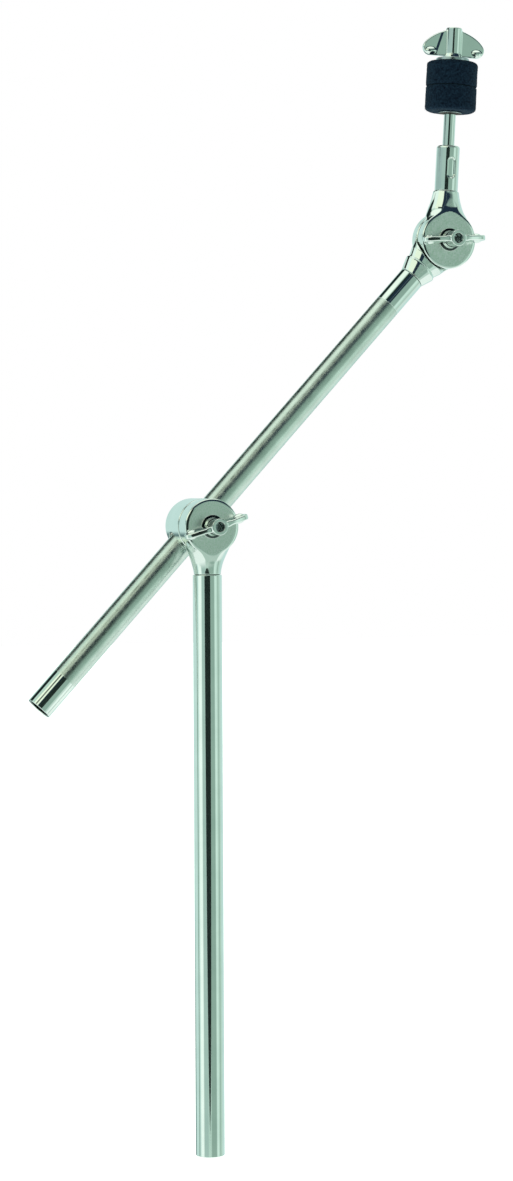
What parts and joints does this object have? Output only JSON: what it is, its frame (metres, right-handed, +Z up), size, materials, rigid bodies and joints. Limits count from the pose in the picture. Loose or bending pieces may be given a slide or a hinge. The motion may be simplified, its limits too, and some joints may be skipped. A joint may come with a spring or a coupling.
{
  "type": "cymbal boom stand",
  "caption": "Cymbal boom arm: a plain tube carries a tilter that clamps a knurled boom, whose upper tilter holds the rod, felts and wing nut that seat a cymbal.",
  "frame": {"origin": "centre of the lower tube's bottom end", "axes": "+Z up the lower tube; both tilters turn about Y; the wing nuts face -Y and the boom rises towards +X"},
  "size_m": [0.3226, 0.0666, 0.7521],
  "materials": {
    "chrome": "polished chrome plate",
    "satin_chrome": "satin and finely knurled chrome plate",
    "felt": "dense dark felt",
    "nylon": "moulded nylon",
    "fibre": "pressed fibre",
    "zinc_steel": "zinc-plated steel"
  },
  "bodies": {
    "stand_tube": {"lower_tube": "chrome", "tube_neck": "satin_chrome", "lower_friction_ring": "fibre", "lower_spring": "zinc_steel"},
    "clamp": {"boom_clamp": "chrome", "clamp_cover": "zinc_steel", "eye_bolt": "zinc_steel"},
    "bush": {"boom_bush": "nylon"},
    "boom": {"boom_tube": "satin_chrome", "boom_end": "satin_chrome", "upper_clamp_bolt": "zinc_steel"},
    "post": {"post_casting": "satin_chrome", "upper_friction_ring": "fibre", "upper_spring": "zinc_steel", "post_sleeve": "chrome", "cymbal_rod": "chrome", "seat_washer": "zinc_steel", "rod_sleeve": "nylon", "lower_felt": "felt"},
    "lower_nut_carrier": {"lower_washer": "zinc_steel"},
    "lower_nut": {"lower_wing_nut": "chrome"},
    "upper_nut_carrier": {"upper_washer": "zinc_steel"},
    "upper_nut": {"upper_wing_nut": "chrome"},
    "cymbal_nut_carrier": {"upper_felt": "felt", "top_washer": "zinc_steel"},
    "cymbal_nut": {"cymbal_wing_nut": "chrome"}
  },
  "joints": [
    {"name": "boom_tilt", "type": "hinge", "parent": "stand_tube", "child": "clamp", "pos_m": [0, 0, 0.4155], "axis": [0, 1, 0], "range_deg": [-130, 45]},
    {"name": "boom_roll", "type": "hinge", "parent": "clamp", "child": "bush", "pos_m": [0, 0.0215, 0.4155], "axis": [0.6788, 0, 0.7343], "range_deg": [-180, 180]},
    {"name": "boom_slide", "type": "slide", "parent": "bush", "child": "boom", "axis": [0.6788, 0, 0.7343], "range_m": [-0.15, 0.125]},
    {"name": "post_tilt", "type": "hinge", "parent": "boom", "child": "post", "pos_m": [0.17785, 0.0215, 0.60789], "axis": [0, 1, 0], "range_deg": [-50, 125]},
    {"name": "lower_nut_travel", "type": "slide", "parent": "clamp", "child": "lower_nut_carrier", "axis": [0, -1, 0], "range_m": [0, 0.002]},
    {"name": "lower_nut_turn", "type": "hinge", "parent": "lower_nut_carrier", "child": "lower_nut", "pos_m": [0, 0, 0.4155], "axis": [0, -1, 0], "range_deg": [0, 720]},
    {"name": "upper_nut_travel", "type": "slide", "parent": "boom", "child": "upper_nut_carrier", "axis": [0, -1, 0], "range_m": [0, 0.002]},
    {"name": "upper_nut_turn", "type": "hinge", "parent": "upper_nut_carrier", "child": "upper_nut", "pos_m": [0.17785, 0.0215, 0.60789], "axis": [0, -1, 0], "range_deg": [0, 720]},
    {"name": "cymbal_nut_travel", "type": "slide", "parent": "post", "child": "cymbal_nut_carrier", "axis": [0.0576, 0, 0.9983], "range_m": [0, 0.008]},
    {"name": "cymbal_nut_turn", "type": "hinge", "parent": "cymbal_nut_carrier", "child": "cymbal_nut", "pos_m": [0.17785, 0.0215, 0.60789], "axis": [0.0576, 0, 0.9983], "range_deg": [0, 2880]}
  ],
  "couplings": [
    {"joint": "lower_nut_turn", "follows": "lower_nut_travel", "rad_per_m": 6283.2},
    {"joint": "upper_nut_turn", "follows": "upper_nut_travel", "rad_per_m": 6283.2},
    {"joint": "cymbal_nut_turn", "follows": "cymbal_nut_travel", "rad_per_m": 6283.2}
  ]
}
